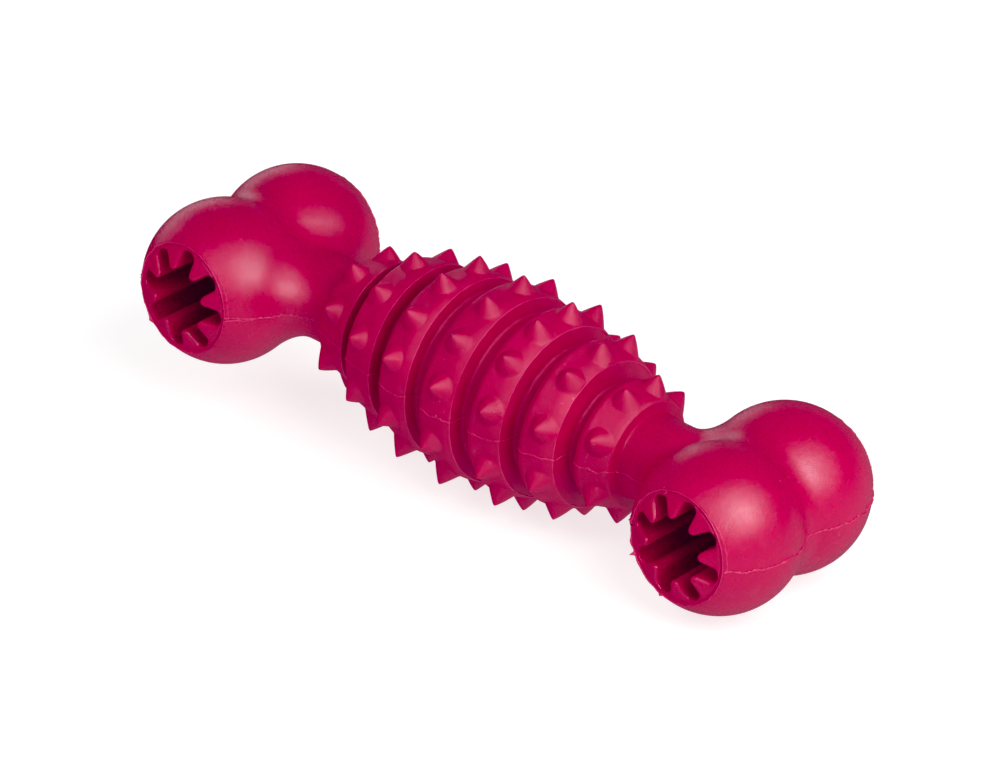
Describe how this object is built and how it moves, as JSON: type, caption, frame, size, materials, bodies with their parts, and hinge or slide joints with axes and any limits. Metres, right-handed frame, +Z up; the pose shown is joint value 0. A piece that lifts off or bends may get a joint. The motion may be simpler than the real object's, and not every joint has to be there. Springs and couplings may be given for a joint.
{
  "type": "rubber chew toy",
  "caption": "Bone-shaped rubber chew toy with ball-shaped end lobes, a finned treat socket through each end, and a barrel of grooved rings with short blunt spikes.",
  "frame": {"origin": "on the ground, under the middle of the bone, at the bottom centre of its box", "axes": "+X along the bone to the end that leans down, +Y along both sockets to the rear, +Z up. The bone leans 3.6 degrees about Y, as it does on a table, because it stands on two spikes of the middle ring and two of the next ring on the +X side"},
  "size_m": [0.181, 0.0538, 0.0492],
  "materials": {
    "rubber": "satin"
  },
  "bodies": {
    "root": {"left_front_lobe": "rubber", "left_rear_lobe": "rubber", "left_socket_fins": "rubber", "left_neck": "rubber", "right_front_lobe": "rubber", "right_rear_lobe": "rubber", "right_socket_fins": "rubber", "right_neck": "rubber", "barrel_core": "rubber", "ring_1": "rubber", "ring_2": "rubber", "ring_3": "rubber", "ring_4": "rubber", "ring_5": "rubber", "ring_6": "rubber", "ring_7": "rubber", "ring_1_spikes": "rubber", "ring_2_spikes": "rubber", "ring_3_spikes": "rubber", "ring_4_spikes": "rubber", "ring_5_spikes": "rubber", "ring_6_spikes": "rubber", "ring_7_spikes": "rubber"}
  },
  "joints": []
}
